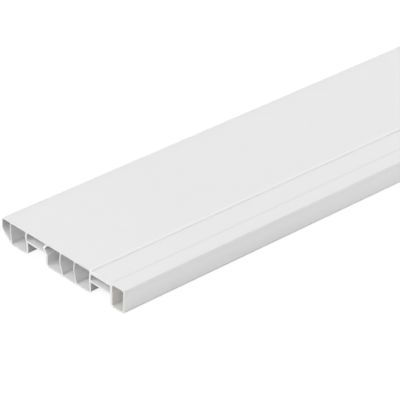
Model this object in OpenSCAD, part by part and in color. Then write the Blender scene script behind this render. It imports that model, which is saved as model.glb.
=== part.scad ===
// Hollow skirting board, an extrusion that lies on its back with its face up.
// Lengths are in millimetres. X runs along the board, +Y to its upper edge, +Z out of its face.
// The section is drawn flat: x is the distance across from the upper edge, y the depth below the face.

/* [Board] */
// Length of the board between its sawn ends
board_length = 2500; // [500:50:4000]
// Height of the face, from the lower edge to the upper edge
board_height = 100; // [76:0.5:200]
// Thickness from the face to the back
board_thickness = 14.5; // [13.5:0.1:18]

/* [Edges] */
// Radius between the face and the upper edge
upper_face_radius = 2.2; // [0.3:0.1:4]
// Radius between the face and the lower edge
lower_face_radius = 1; // [0.2:0.1:1.5]
// Depth below the face at which the upper edge turns into the slope to the back
slope_start = 7.5; // [6.5:0.1:9]
// Distance from the upper edge at which the slope meets the back, over the foot of the first rib
slope_width = 8.7; // [6:0.1:12]
// Radius between the upper edge and the slope
slope_top_radius = 4; // [0.5:0.1:4.5]
// Radius between the slope and the back
slope_foot_radius = 2.5; // [0.5:0.1:3]
// Radius between the lower edge and the back
lower_back_radius = 2.7; // [0.5:0.1:4.5]
// Radius of the other corner of the lower edge box, beside the lower groove
box_radius = 2.2; // [0.5:0.1:3]

/* [Skins and walls] */
// Thickness of the skin under the face
face_skin = 1; // [0.7:0.05:1.4]
// Thickness of the skin of the back and the slope
back_skin = 1.1; // [0.7:0.05:1.5]
// Thickness of the skin along the upper edge
upper_skin = 0.7; // [0.6:0.05:1.5]
// Depth of the ceiling of the shallow chamber next to the lower edge box
thick_skin = 2.2; // [1.2:0.1:3]
// Thickness of the wall along the lower edge
lower_wall = 1.5; // [1:0.05:2]
// Thickness of the two walls on the lower side of the grooves
box_wall = 1.4; // [1:0.05:2]
// Thickness of the plain ribs between two chambers
rib = 1; // [0.6:0.05:1.4]
// Thickness of the two ribs on the upper side of the grooves
groove_rib = 1.3; // [0.8:0.05:1.6]
// Thickness of the webs over the grooves
web = 1.1; // [0.8:0.05:1.6]
// Radius of the inner corners of the chambers
chamber_radius = 0.4; // [0.1:0.05:0.6]

/* [First rib] */
// Distance of the first rib from the upper edge
first_rib = 7.5; // [6:0.1:10]
// Depth of its bend
first_rib_bend = 7; // [5:0.1:9]

/* [Upper clip groove] */
// Distance of the rib beside the upper groove from the upper edge, at the face
upper_rib = 21.1; // [17:0.1:23]
// Depth of its upper bend
upper_rib_bend = 4.1; // [2.5:0.1:4.5]
// How far its upper bend stands back towards the upper edge
upper_rib_kink = 1.05; // [0:0.05:1.5]
// How far its foot leans towards the lower edge
upper_rib_lean = 0.9; // [0:0.1:1.5]
// Depth of the web over the upper groove
upper_web = 5.7; // [4.5:0.1:6.5]
// Distance of the wall on the other side of the upper groove from the upper edge
upper_wall = 37.75; // [35:0.1:40]
// How far its top leans towards the lower edge
upper_wall_lean = 0.5; // [0:0.1:1]
// Depth of the bend of that wall
upper_wall_bend = 3.8; // [2.5:0.1:4.2]
// How far the bend stands back towards the upper edge
upper_wall_kink = 2.7; // [0:0.05:3]
// Depth from which it stands upright
upper_wall_upright = 7.4; // [6.5:0.1:9]
// Radius of the corner where that wall meets the back
upper_wall_radius = 3; // [0.5:0.1:4]
// Radius of the lips where the ribs of both grooves meet the back
lip_radius = 3.2; // [1.4:0.1:4]

/* [Middle ribs] */
// Distance from the upper wall to the first middle rib, and from rib to rib
middle_pitch = 11.3; // [8:0.1:14]
// Depth of their bend
middle_bend = 6.2; // [3:0.1:9]
// How far the bend stands back towards the upper edge
middle_kink = 0.9; // [0:0.05:1.5]
// How far their feet lean towards the lower edge
middle_lean = 1.6; // [0:0.1:2.5]

/* [Lower clip groove] */
// Distance of the rib beside the lower groove from the lower edge, at the face
lower_rib = 27; // [22:0.1:32]
// Depth of its bend
lower_rib_bend = 5.4; // [3:0.1:6]
// How far the bend stands back towards the upper edge
lower_rib_kink = 0.7; // [0:0.05:1.2]
// Depth of the web over the lower groove
lower_web = 6.2; // [4.5:0.05:7]
// Width of the box along the lower edge
lower_box = 11.15; // [8:0.1:13]
// Depth of the bend in the box's inner wall
lower_box_bend = 3.9; // [3:0.1:5]
// How far that bend stands back towards the upper edge
lower_box_kink = 0.5; // [0:0.05:0.8]

/* [Face line] */
// Depth of the fine step along the face, close to the rib beside the lower groove
face_line_depth = 0.5; // [0.05:0.05:0.6]
// Width over which the face climbs back to its level
face_line_width = 1; // [0.4:0.1:2]
// Distance of the step from the middle of that rib, towards the lower edge
face_line_offset = 0.6; // [0:0.1:3]

/* [Hidden] */

// Straight pieces in the arc of one rounded corner
arc_steps = 6;
// A bend nearer than this to the ceiling or floor of a chamber makes no corner of its own
bend_margin = 1.25 * chamber_radius;
// Two sides whose directions add up to less than this are in line, with no corner to round
nearly_straight = 0.001;

// Undersides of the two webs, which are the roofs of the grooves
upper_roof = upper_web + web;
lower_roof = lower_web + web;

// Depth of the chambers' floors
back_level = board_thickness - back_skin;

// Radius inside a rounded corner, which follows the one outside it
function inner_radius(outer, wall) = max(outer - wall, chamber_radius);

// Centre lines of the ribs and walls, from the face down to the back
first_line = [[first_rib, 0], [first_rib, first_rib_bend], [slope_width, board_thickness]];
upper_line = [
    [upper_rib, 0],
    [upper_rib - upper_rib_kink, upper_rib_bend],
    [upper_rib, upper_web],
    [upper_rib + upper_rib_lean, board_thickness]
];
upper_wall_line = [
    [upper_wall + upper_wall_lean, 0],
    [upper_wall - upper_wall_kink, upper_wall_bend],
    [upper_wall, upper_wall_upright],
    [upper_wall, board_thickness]
];
lower_rib_at = board_height - lower_rib;
lower_line = [
    [lower_rib_at, 0],
    [lower_rib_at - lower_rib_kink, lower_rib_bend],
    [lower_rib_at, board_thickness]
];
// As many middle ribs as fit, the last of them at least half a pitch from the rib beside the lower groove
middle_lines = [for (place = [upper_wall + middle_pitch : middle_pitch : lower_rib_at - middle_pitch / 2])
    [[place, 0], [place - middle_kink, middle_bend], [place + middle_lean, board_thickness]]];
box_wall_at = board_height - lower_box + box_wall / 2;
box_line = [
    [box_wall_at, 0],
    [box_wall_at - lower_box_kink, lower_box_bend],
    [box_wall_at, lower_roof],
    [box_wall_at, board_thickness]
];

// The slope: its fall over its width, and the depth of its inner side at a distance from the upper edge
slope_fall = (board_thickness - slope_start) / slope_width;
function slope_inside(across) = slope_start + slope_fall * across - back_skin * norm([1, slope_fall]);

function unit(v) = v / norm(v);

// Unit vector square to a piece of line that runs down, pointing to the lower edge
function square_to(a, b) = let (along = unit(b - a)) [along.y, -along.x];

// Face of a wall: its centre line moved sideways by half the wall, with mitred bends
function moved(line, shift) =
    let (last = len(line) - 1)
    [for (i = [0 : last])
        let (
            before = square_to(line[max(i - 1, 0)], line[max(i, 1)]),
            after = square_to(line[min(i, last - 1)], line[min(i + 1, last)]),
            mitre = unit(before + after)
        )
        line[i] + mitre * shift / (mitre * before)];

// Distance across of a line at a depth
function across_at(line, depth) = lookup(depth, [for (point = line) [point.y, point.x]]);

// Corners of one face of a wall between two depths, each with its radius
function face_corners(line, shift, top, bottom, bottom_radius) =
    let (side = moved(line, shift))
    [
        [across_at(side, top), top, chamber_radius],
        for (point = side)
            if (point.y > top + bend_margin && point.y < bottom - bend_margin)
                [point.x, point.y, chamber_radius],
        [across_at(side, bottom), bottom, bottom_radius]
    ];

function reversed(list) = [for (i = [len(list) - 1 : -1 : 0]) list[i]];

// Arc of one rounded corner between the straight sides to its neighbours
function corner_arc(before, corner, after) =
    let (
        here = [corner.x, corner.y],
        back = unit([before.x, before.y] - here),
        on = unit([after.x, after.y] - here)
    )
    corner[2] == 0 || norm(back + on) < nearly_straight ? [here] : arc_between(here, back, on, corner[2]);

// Points of the arc of a radius that touches two sides, given by their directions from the corner
function arc_between(here, back, on, radius) =
    let (
        half = acos(back * on) / 2,
        centre = here + unit(back + on) * radius / sin(half),
        start = here + back * radius / tan(half) - centre,
        end = here + on * radius / tan(half) - centre,
        first = atan2(start.y, start.x),
        turn = (atan2(end.y, end.x) - first + 540) % 360 - 180
    )
    [for (i = [0 : arc_steps])
        centre + radius * [cos(first + turn * i / arc_steps), sin(first + turn * i / arc_steps)]];

// Polygon through corners given as [across, depth, radius], where radius 0 is a sharp corner
module rounded(corners) {
    count = len(corners);
    polygon([
        for (i = [0 : count - 1])
            each corner_arc(corners[(i + count - 1) % count], corners[i], corners[(i + 1) % count])
    ]);
}

// Chamber between two walls, from its ceiling to its floor
module chamber(left, left_wall, right, right_wall, top, bottom, left_radius = chamber_radius,
               right_radius = chamber_radius) {
    rounded([
        each face_corners(left, left_wall / 2, top, bottom, left_radius),
        each reversed(face_corners(right, -right_wall / 2, top, bottom, right_radius))
    ]);
}

// Chamber along the upper edge, whose floor is the slope
module upper_chamber() {
    side = moved(first_line, -rib / 2);
    bend = side[1];
    fall = side[2] - bend;
    foot = bend + fall * (slope_inside(bend.x) - bend.y) / (fall.y - slope_fall * fall.x);
    rounded([
        [upper_skin, face_skin, inner_radius(upper_face_radius, upper_skin)],
        [side[0].x, face_skin, chamber_radius],
        [bend.x, bend.y, chamber_radius],
        [foot.x, foot.y, chamber_radius],
        [upper_skin, slope_inside(upper_skin), inner_radius(slope_top_radius, back_skin)]
    ]);
}

// Outer outline of the section, with the two grooves open to the back
module outline() {
    upper_side = moved(upper_line, groove_rib / 2);
    lower_side = moved(lower_line, groove_rib / 2);
    step = lower_rib_at + face_line_offset;
    rounded([
        [0, 0, upper_face_radius],
        [step, 0, face_line_depth / 2],
        [step, face_line_depth, 0],
        [step + face_line_width, 0, 0],
        [board_height, 0, lower_face_radius],
        [board_height, board_thickness, lower_back_radius],
        [board_height - lower_box, board_thickness, box_radius],
        [board_height - lower_box, lower_roof, chamber_radius],
        [across_at(lower_side, lower_roof), lower_roof, chamber_radius],
        [across_at(lower_side, board_thickness), board_thickness, lip_radius],
        [upper_wall - box_wall / 2, board_thickness, upper_wall_radius],
        [upper_wall - box_wall / 2, upper_roof, chamber_radius],
        [across_at(upper_side, upper_roof), upper_roof, chamber_radius],
        [across_at(upper_side, board_thickness), board_thickness, lip_radius],
        [slope_width, board_thickness, slope_foot_radius],
        [0, slope_start, slope_top_radius]
    ]);
}

// Chambers from the upper wall to the rib beside the lower groove, with the middle ribs between them
module middle_chambers() {
    last = len(middle_lines);
    lines = [upper_wall_line, each middle_lines, lower_line];
    for (i = [0 : last])
        chamber(lines[i], i == 0 ? box_wall : rib, lines[i + 1], i == last ? groove_rib : rib,
                face_skin, back_level,
                i == 0 ? inner_radius(upper_wall_radius, box_wall) : chamber_radius,
                i == last ? inner_radius(lip_radius, groove_rib) : chamber_radius);
}

// The section: the outline less its chambers
module section() {
    difference() {
        outline();
        upper_chamber();
        chamber(first_line, rib, upper_line, groove_rib, face_skin, back_level,
                right_radius = inner_radius(lip_radius, groove_rib));
        chamber(upper_line, groove_rib, upper_wall_line, box_wall, face_skin, upper_web);
        middle_chambers();
        chamber(lower_line, groove_rib, box_line, box_wall, thick_skin, lower_web);
        chamber(box_line, box_wall, [[board_height, 0], [board_height, board_thickness]], 2 * lower_wall,
                face_skin, back_level, inner_radius(box_radius, box_wall),
                inner_radius(lower_back_radius, lower_wall));
    }
}

// The board: its section drawn out along X
module skirting_board() {
    color("whitesmoke")
    translate([0, board_height / 2, board_thickness])
    rotate([-90, 0, -90])
    linear_extrude(height = board_length, center = true)
    section();
}

skirting_board();
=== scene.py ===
import math
from types import SimpleNamespace

import bpy
from mathutils import Matrix, Vector


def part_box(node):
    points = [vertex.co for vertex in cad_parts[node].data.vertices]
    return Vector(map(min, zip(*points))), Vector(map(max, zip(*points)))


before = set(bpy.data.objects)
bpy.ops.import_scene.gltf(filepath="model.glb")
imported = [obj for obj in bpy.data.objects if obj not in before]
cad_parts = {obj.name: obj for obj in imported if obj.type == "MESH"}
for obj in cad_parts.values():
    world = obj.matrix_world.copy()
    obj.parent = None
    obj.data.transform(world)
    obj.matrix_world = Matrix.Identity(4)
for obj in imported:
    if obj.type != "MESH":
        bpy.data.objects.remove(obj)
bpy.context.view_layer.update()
mm = 0.001
noiseMiddle = 0.5       # what a noise is on average
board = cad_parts["skirting_board"]
boardLow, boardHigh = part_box("skirting_board")
print("frame loaded, board", [round(side / mm, 1) for side in boardHigh - boardLow], "mm")


class Wire:
    # a node's output socket; arithmetic on it adds Math nodes
    def __init__(self, tree, socket=None):
        self.tree = tree
        self.socket = socket

    def node(self, kind, settings=None, inputs=None, output=0):
        # settings come first, because some of them change the sockets
        made = self.tree.nodes.new(kind)
        for name, value in (settings or {}).items():
            if name == "stops":
                fillRamp(made.color_ramp, value)
            else:
                setattr(made, name, value)
        for name, value in (inputs or {}).items():
            if isinstance(value, Wire):
                self.tree.links.new(value.socket, made.inputs[name])
            else:
                made.inputs[name].default_value = value
        return Wire(self.tree, made.outputs[output])

    def other(self, output):
        # another output of the same node
        return Wire(self.tree, self.socket.node.outputs[output])

    def math(self, operation, first, second=0.0):
        return self.node("ShaderNodeMath", {"operation": operation}, {0: first, 1: second})

    def __add__(self, other):
        return self.math("ADD", self, other)

    def __radd__(self, other):
        return self.math("ADD", other, self)

    def __sub__(self, other):
        return self.math("SUBTRACT", self, other)

    def __rsub__(self, other):
        return self.math("SUBTRACT", other, self)

    def __mul__(self, other):
        return self.math("MULTIPLY", self, other)

    def __rmul__(self, other):
        return self.math("MULTIPLY", other, self)

    def __truediv__(self, other):
        return self.math("DIVIDE", self, other)

    def __rtruediv__(self, other):
        return self.math("DIVIDE", other, self)

    def __pow__(self, other):
        return self.math("POWER", self, other)

    def __rpow__(self, other):
        return self.math("POWER", other, self)

    def size(self):
        return self.math("ABSOLUTE", self)

    def sine(self):
        return self.math("SINE", self)

    def larger(self, other):
        return self.math("MAXIMUM", self, other)

    def above(self, edge, soft):
        # 0 below the edge, 1 above it, with a smooth step as wide as soft
        return self.node("ShaderNodeMapRange", {"interpolation_type": "SMOOTHSTEP"},
                         {"Value": self, "From Min": edge - soft / 2, "From Max": edge + soft / 2})

    def below(self, edge, soft):
        return 1 - self.above(edge, soft)

    def between(self, low, lowSoft, high, highSoft):
        return self.above(low, lowSoft) * self.below(high, highSoft)

    def within(self, middle, half, soft):
        # 1 up to half the width to both sides of the middle
        return (self - middle).size().below(half, soft)

    def bell(self, middle, width):
        # 1 at the middle, falling to both sides like a soft ridge
        return self.math("EXPONENT", ((self - middle) / width) ** 2 * -1)

    def noise(self, scale, detail, roughness):
        return self.node("ShaderNodeTexNoise", inputs={
            "Vector": self, "Scale": scale, "Detail": detail, "Roughness": roughness})

    def mix(self, factor, under, over, blend="MIX"):
        return self.node("ShaderNodeMix", {"data_type": "RGBA", "blend_type": blend},
                         {"Factor": factor, "A": under, "B": over}, "Result")


def fillRamp(ramp, stops):
    while len(ramp.elements) < len(stops):
        ramp.elements.new(1.0)
    for element, (place, shade) in zip(ramp.elements, stops):
        element.position = place
        element.color = (shade, shade, shade, 1.0)


def newMaterial(name):
    material = bpy.data.materials.new(name)
    material.use_nodes = True
    material.node_tree.nodes.clear()
    return material, Wire(material.node_tree)


def toOutput(paint, shader, kind="ShaderNodeOutputMaterial"):
    out = paint.tree.nodes.new(kind)
    paint.tree.links.new(shader.socket, out.inputs["Surface"])


# camera, at the place that the photograph was taken from
cameraSpec = {
    "place": (-1.9917, -0.8864, 0.7234),
    "aim": (-1.1409, 0.0108, 0.0),          # the point of the floor behind the middle of the picture
    "roll": 1.278,                          # degrees
    "lens": 232.62,                         # mm
    "sensor": 36.0,                         # mm wide
    "near": 0.05,
    "far": 50.0,
}


def placeCamera(spec):
    data = bpy.data.cameras.new("camera")
    data.sensor_width = spec["sensor"]
    data.lens = spec["lens"]
    data.clip_start = spec["near"]
    data.clip_end = spec["far"]
    camera = bpy.data.objects.new("camera", data)
    place = Vector(spec["place"])
    look = (Vector(spec["aim"]) - place).to_track_quat("-Z", "Y").to_matrix().to_4x4()
    roll = Matrix.Rotation(math.radians(spec["roll"]), 4, "Z")
    camera.matrix_world = Matrix.Translation(place) @ look @ roll
    bpy.context.scene.collection.objects.link(camera)
    bpy.context.scene.camera = camera


placeCamera(cameraSpec)
print("camera placed")


# white rigid plastic of the board, with its marks and dirt, painted shade and painted light; lengths in
# mm
# an edge is a place and a softness, a line is its middle and width, a band is its middle,
# half its width and a softness, and four numbers are a lower and an upper edge
plastic = {
    "faceColour": (0.82, 0.82, 0.82, 1.0),
    "cutColour": (0.89, 0.89, 0.89, 1.0),   # where the saw went through
    # the colour of painted light and painted highlights
    "paintedLightColour": (0.95, 0.95, 0.95, 1.0),
    # the colour of painted shade and of dirt
    "shadeAndDirtColour": (0.3, 0.3, 0.29, 1.0),
    "boxTint": (1.11, 1.09, 1.055, 1.0),    # the inside of the edge box is slightly yellowed
    "mottleShades": ((0.3, 0.985), (0.7, 1.0)),
    "mottleNoise": (90.0, 4.0, 0.5),        # of every noise: scale, detail and roughness
    "roughness": 0.42,
    "cutRoughness": 0.62,
    "grainRoughness": 0.12,                 # how much the die lines change it
    "mottleRoughness": 0.08,
    "refraction": 1.53,

    # which way a surface has to face
    "square": (0.9, 0.1),
    "sideways": (0.75, 0.3),
    "inward": (-0.5, 0.3),

    # the die leaves lines that run the whole length
    "grainStretch": 0.004,                  # how much slower they change along the board
    "grainNoise": (2.2, 3.0, 0.6),
    "grainDepth": 0.006,
    "waveNoise": (0.16, 1.0, 0.4),
    "waveDepth": 0.03,

    # the plastic shrinks over the ribs, and leaves soft valleys in the face
    "ribs": (7.5, 21.1, 38.2, 49.1, 60.4),  # from the upper edge
    "ribWidth": 1.6,
    "ribDepth": 0.012,
    "boxLine": (10.6, 0.75),                # from the lower edge, over the inner wall of the edge box
    "boxLineDepth": 0.03,
    # painted shade in that valley
    "boxLineShade": 0.12,

    # the fine step in the face
    "step": (26.15, 0.45),                  # from the lower edge
    # painted shade in the step
    "stepShade": 0.63,
    "lip": (27.85, 0.5),                    # its lip, which gets a painted highlight
    "lipHighlight": 0.45,

    # the rest of the outside
    "faceSkin": (1.0, 0.4),                 # below the face
    "nearEnd": (40.0, 100.0),               # painted light: the face is a little paler beside a sawn end
    "endLight": 0.11,
    "upperShadeLine": (3.5, 2.5),                # painted shade where the face curves away, from the upper edge
    "upperShade": 0.03,
    "edgeShadeDepth": 0.1,                      # painted shade over the rounded lower edge, centred below the face, along its lower edge
    "edgeShadeWidth": 0.65,
    "lowerEdgeShade": 0.52,
    "lowerSide": (1.0, 0.4),                # from the lower edge
    "foot": (5.5, 8.0),                     # above the back; below it the lower side gets painted shade, darker towards the floor
    "footShade": 0.12,
    "footEnd": (170.0, 250.0),              # from the sawn end
    "footFade": 0.65,                       # how much less of that painted shade there is beyond it
    "grazeStretch": 0.15,
    "grazeNoise": (0.14, 4.0, 0.5),
    "grazeShare": (0.4, 1.2),               # the least of that painted shade, and what the grazes add
    "awayFromEnd": (130.0, 120.0),
    "sideDirt": 0.06,
    # painted light: the lower side is lighter away from the sawn end
    "sideLight": 0.12,

    # the chambers
    "breadth": (0.0, 48.3, 0.3),            # from the middle of the board
    "wallDepths": (1.2, 0.1, 13.7, 0.3),    # above the back
    "depths": (0.9, 0.2, 13.7, 0.2),        # with floor and roof
    "box": (5.8, 4.5, 0.2),                 # from the lower edge
    "boxDepths": (0.9, 0.2, 13.3, 0.2),
    "boxFloor": (2.2, 1.0),
    # painted shade low on the floor of the edge box
    "boxFloorShade": 0.31,
    "slimOnes": ((20.8, 8.4, 0.3), (-31.0, 8.4, 0.3)),  # over the grooves, from the middle of the board
    "slimFloor": (8.2, 0.3),
    # painted shade on the walls of the slim chambers
    "slimShade": 0.15,
    "bentWall": (12.0, 3.5, 1.0),           # without the painted shade at its foot and the painted light deeper in; from the middle of the board
    "wallShadeTop": (4.5, 6.0),                  # painted shade on the lower part of the walls
    "wallShade": 0.13,
    "wallFoot": (2.5, 1.6),                 # most of all at their feet
    "wallFootShade": 0.22,
    "wallTop": (8.5, 6.0),                  # and painted light on their tops
    "wallTopLight": 0.8,
    "deepLightStart": (5.0, 6.0),               # from the sawn end
    "deepLight": 0.6,                       # painted light beyond it
    "bendSide": (6.0, 1.0),                 # from the upper edge, the outer wall that has a bend
    "bend": (7.5, 1.8),                     # above the back
    # painted shade on the bend
    "bendShade": 0.3,

    # the sawn ends
    "sawPitch": 0.9,                        # between the marks of the saw's teeth
    "sawRadius": 150.0,                     # of the blade
    "sawMiddle": 20.0,                      # of the blade, below the middle of the board
    "sawShake": 0.8,
    "sawDepth": 0.03,
    "endWall": (1.7, 0.4),                  # from the lower edge
    # painted shade on the cut near the lower edge
    "endWallShade": 0.23,
    "lowCut": (1.6, 0.6, 7.5, 4.0),         # walls and ribs near the back get painted shade
    "lowCutShade": 0.12,
    "thinRibs": (7.5, 49.3, 60.4),          # from the upper edge, the ribs whose cuts get the most painted shade
    "thinRibWidth": 2.0,
    "thinRibDepths": (5.5, 3.0, 13.3, 0.4),
    "thinRibShade": 0.3,
    "skinShadeBands": ((3.0, 25.0, 0.6), (-44.5, 3.5, 0.6)),     # painted shade: a dark band low on the cut of the face skin
    "skinShadeLine": (0.95, 0.28),               # below the face
    "skinShadeGap": 1.0,                         # there is none at a rib
    "skinShade": 0.85,
}


def findPlaces(paint):
    # where a point of the board is, in mm, and which of its surfaces it is on
    at = SimpleNamespace()
    at.place = paint.node("ShaderNodeTexCoord", output="Object")
    split = paint.node("ShaderNodeSeparateXYZ", inputs={"Vector": at.place})
    at.along, at.across, at.up = (split.other(axis) * (1 / mm) for axis in "XYZ")
    at.fromEnd = boardHigh.x / mm - at.along.size()
    at.fromUpper = boardHigh.y / mm - at.across
    at.fromLower = at.across - boardLow.y / mm
    at.fromFace = boardHigh.z / mm - at.up

    normal = paint.node("ShaderNodeTexCoord", output="Normal")
    facing = paint.node("ShaderNodeSeparateXYZ", inputs={"Vector": normal})
    facingAcross = facing.other("Y")
    at.cut = facing.size().above(*plastic["square"])
    at.upward = facing.other("Z").above(*plastic["square"])
    at.onFace = at.upward * at.fromFace.below(*plastic["faceSkin"])
    at.onSide = at.fromLower.below(*plastic["lowerSide"])
    at.awayFromEnd = at.fromEnd.above(*plastic["awayFromEnd"])

    breadth = at.across.within(*plastic["breadth"])
    sideways = facingAcross.size().above(*plastic["sideways"])
    at.onWall = sideways * breadth * at.up.between(*plastic["wallDepths"])
    at.inChamber = (1 - at.upward) * breadth * at.up.between(*plastic["depths"])
    at.inBox = at.fromLower.within(*plastic["box"]) * at.up.between(*plastic["boxDepths"])
    slimBands = sum(at.across.within(*slim) for slim in plastic["slimOnes"])
    at.inSlim = slimBands * at.up.above(*plastic["slimFloor"])
    at.plainWall = (1 - at.across.within(*plastic["bentWall"])) * (1 - at.inBox)
    upperSide = facingAcross.below(*plastic["inward"]) * at.fromUpper.below(*plastic["bendSide"])
    at.onBend = upperSide * at.up.bell(*plastic["bend"])
    return at


def stretched(at, share):
    return at.place.node("ShaderNodeCombineXYZ", inputs={
        "X": at.along * share, "Y": at.across, "Z": at.up})


def outerShadeAndDirt(at):
    # painted shade in the lines of the face, near its upper edge and over its rounded lower edge, and
    # on the lower side painted shade towards the floor broken by grazes, with grazes of dirt near the
    # sawn end
    lines = at.fromLower.bell(*plastic["boxLine"]) * plastic["boxLineShade"]
    lines = lines + at.fromLower.bell(*plastic["step"]) * plastic["stepShade"]
    lines = lines + at.fromUpper.bell(*plastic["upperShadeLine"]) * plastic["upperShade"]
    # painted shade over the rounded lower edge of the face
    fromShadedEdge = (at.fromLower ** 2 + (at.fromFace - plastic["edgeShadeDepth"]) ** 2) ** 0.5
    edgeShading = fromShadedEdge.bell(0.0, plastic["edgeShadeWidth"]) * plastic["lowerEdgeShade"]
    grazes = stretched(at, plastic["grazeStretch"]).noise(*plastic["grazeNoise"])
    least, added = plastic["grazeShare"]
    foot = at.up.below(*plastic["foot"]) * (least + grazes * added) * plastic["footShade"]
    foot = foot * (1 - at.fromEnd.above(*plastic["footEnd"]) * plastic["footFade"])
    side = foot + grazes * (1 - at.awayFromEnd) * plastic["sideDirt"]
    return lines * at.onFace + edgeShading + side * at.onSide


# painted shade inside the chambers
def chamberShade(at):
    walls = at.up.below(*plastic["wallShadeTop"]) * plastic["wallShade"] + at.inSlim * plastic["slimShade"]
    walls = walls + at.up.below(*plastic["wallFoot"]) * at.plainWall * plastic["wallFootShade"]
    boxFloor = at.inBox * at.up.below(*plastic["boxFloor"]) * plastic["boxFloorShade"]
    return walls * at.onWall + boxFloor + at.onBend * plastic["bendShade"]


# painted shade on the sawn ends
def cutShade(at):
    lower = at.fromLower.below(*plastic["endWall"]) * plastic["endWallShade"]
    low = at.up.between(*plastic["lowCut"]) * plastic["lowCutShade"]
    ribs = sum(at.fromUpper.bell(rib, plastic["thinRibWidth"]) for rib in plastic["thinRibs"])
    ribs = ribs * at.up.between(*plastic["thinRibDepths"]) * plastic["thinRibShade"]
    backed = sum(at.fromUpper.bell(rib, plastic["skinShadeGap"]) for rib in plastic["ribs"])
    skinBand = sum(at.across.within(*stretch) for stretch in plastic["skinShadeBands"]) * (1 - backed)
    skinBand = skinBand * at.fromFace.bell(*plastic["skinShadeLine"]) * plastic["skinShade"]
    return lower.larger(low).larger(ribs).larger(skinBand)


# painted light and painted highlights on the board
def paintedLight(at):
    lip = at.fromLower.bell(*plastic["lip"]) * at.onFace * plastic["lipHighlight"]
    end = at.fromEnd.below(*plastic["nearEnd"]) * at.upward * plastic["endLight"]
    side = at.onSide * at.awayFromEnd * (1 - at.cut) * plastic["sideLight"]
    wallTop = at.onWall * at.up.above(*plastic["wallTop"]) * plastic["wallTopLight"]
    deep = at.inChamber * at.fromEnd.above(*plastic["deepLightStart"]) * at.plainWall * plastic["deepLight"]
    return lip + end + side + (wallTop + deep) * (1 - at.inSlim)


def relief(at, grain, waves, mottle):
    overRibs = sum(at.fromUpper.bell(rib, plastic["ribWidth"]) for rib in plastic["ribs"])
    overBoxWall = at.fromLower.bell(*plastic["boxLine"])
    valleys = overRibs * plastic["ribDepth"] + overBoxWall * plastic["boxLineDepth"]
    dieLines = grain * plastic["grainDepth"] + waves * plastic["waveDepth"]
    # the saw's teeth leave shallow arcs
    fromBlade = ((at.across + plastic["sawMiddle"]) ** 2 + (at.up + plastic["sawRadius"]) ** 2) ** 0.5
    turns = (fromBlade + mottle * plastic["sawShake"]) / plastic["sawPitch"]
    teeth = (turns * (2 * math.pi)).sine() * (plastic["sawDepth"] / 2)
    return dieLines * (1 - at.cut) - valleys * at.onFace + teeth * at.cut


def boardMaterial():
    material, paint = newMaterial("white_plastic")
    at = findPlaces(paint)
    dieSpace = stretched(at, plastic["grainStretch"])
    grain = dieSpace.noise(*plastic["grainNoise"])
    waves = dieSpace.noise(*plastic["waveNoise"])
    mottle = at.place.noise(*plastic["mottleNoise"])
    bump = paint.node("ShaderNodeBump", inputs={
        "Strength": 1.0, "Distance": mm, "Height": relief(at, grain, waves, mottle)})

    mottled = (grain + mottle) / 2
    tint = paint.node("ShaderNodeValToRGB", {"stops": plastic["mottleShades"]}, {"Fac": mottled})
    # mostly painted shade, with some dirt on the lower side
    shadeAndDirt = (outerShadeAndDirt(at) + chamberShade(at)) * (1 - at.cut) + cutShade(at) * at.cut
    shade = paint.mix(at.cut, plastic["faceColour"], plastic["cutColour"])
    shade = paint.mix(1.0, shade, tint, "MULTIPLY")
    shade = paint.mix(paintedLight(at), shade, plastic["paintedLightColour"])
    shade = paint.mix(shadeAndDirt, shade, plastic["shadeAndDirtColour"])
    shade = paint.mix(at.inBox, shade, plastic["boxTint"], "MULTIPLY")
    rough = plastic["roughness"] + at.cut * (plastic["cutRoughness"] - plastic["roughness"])
    rough = rough + (grain - noiseMiddle) * plastic["grainRoughness"]
    rough = rough + (mottle - noiseMiddle) * plastic["mottleRoughness"]
    toOutput(paint, paint.node("ShaderNodeBsdfPrincipled", inputs={
        "Base Color": shade, "Roughness": rough, "Normal": bump, "IOR": plastic["refraction"]}))
    return material


board.data.materials.clear()
board.data.materials.append(boardMaterial())
print("board finished in plastic")


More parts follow.
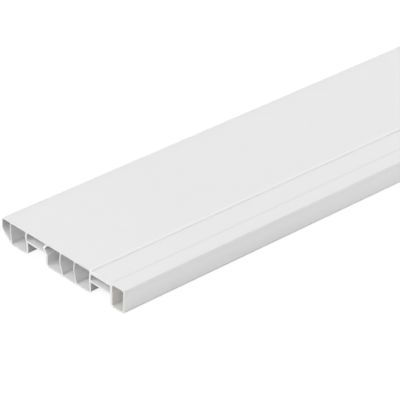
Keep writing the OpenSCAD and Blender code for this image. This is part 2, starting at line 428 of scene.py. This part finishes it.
# floor and light
studio = {
    "white": (1.0, 1.0, 1.0, 1.0),
    "floorColour": (0.2, 0.2, 0.2, 1.0),    # what it gives back to the board; the camera sees it pale
    "floorSize": 12.0,                      # metres
    "floorNoise": (40.0, 3.0, 0.5),
    "floorRoughness": 0.2,
    "shadowShare": 0.6,                     # how much of the floor's own shading the camera sees
    "whiteness": 0.91,                      # the rest of what it sees there
    "skyLevel": 0.2,
    "lampSpread": 60.0,                     # degrees
    # name, level, degrees above the floor, and degrees round from the sawn end to the lower edge
    "lamps": (("end_lamp", 0.545, 40.0, 0.0), ("front_lamp", 0.176, 40.0, 45.0),
              ("side_lamp", 0.919, 10.0, 135.0), ("upper_lamp", 0.502, 10.0, -45.0)),
}


def seenRays(paint):
    # camera, glossy and transmission rays see the white background itself
    path = paint.node("ShaderNodeLightPath", output="Is Camera Ray")
    return path.larger(path.other("Is Glossy Ray")).larger(path.other("Is Transmission Ray"))


def layFloor():
    half = studio["floorSize"] / 2
    corners = [(-half, -half, 0), (half, -half, 0), (half, half, 0), (-half, half, 0)]
    mesh = bpy.data.meshes.new("floor")
    mesh.from_pydata(corners, [], [(0, 1, 2, 3)])
    floor = bpy.data.objects.new("floor", mesh)
    bpy.context.scene.collection.objects.link(floor)
    material, paint = newMaterial("pale_floor")
    grain = paint.node("ShaderNodeTexCoord", output="Object").noise(*studio["floorNoise"])
    matt = paint.node("ShaderNodeBsdfDiffuse", inputs={
        "Color": studio["floorColour"], "Roughness": grain * studio["floorRoughness"]})
    whiteShare = 1 - studio["shadowShare"]
    white = paint.node("ShaderNodeEmission", inputs={
        "Color": studio["white"], "Strength": studio["whiteness"] / whiteShare})
    seen = seenRays(paint) * whiteShare
    toOutput(paint, paint.node("ShaderNodeMixShader", inputs={0: seen, 1: matt, 2: white}))
    mesh.materials.append(material)


def lightStudio():
    world = bpy.data.worlds.new("studio")
    bpy.context.scene.world = world
    world.use_nodes = True
    world.node_tree.nodes.clear()
    sky = Wire(world.node_tree)
    level = seenRays(sky) * (1 - studio["skyLevel"]) + studio["skyLevel"]
    background = sky.node("ShaderNodeBackground", inputs={"Color": studio["white"], "Strength": level})
    toOutput(sky, background, "ShaderNodeOutputWorld")
    for name, level, height, turn in studio["lamps"]:
        data = bpy.data.lights.new(name, "SUN")
        data.energy = level * math.pi
        data.angle = math.radians(studio["lampSpread"])
        lamp = bpy.data.objects.new(name, data)
        lamp.rotation_euler = (math.radians(90 - height), 0.0, math.radians(turn - 90))
        lamp.visible_glossy = False         # the plastic mirrors the white room, not the lamps
        bpy.context.scene.collection.objects.link(lamp)


layFloor()
lightStudio()
bpy.context.scene.view_settings.view_transform = "Standard"
print("floor and light set")
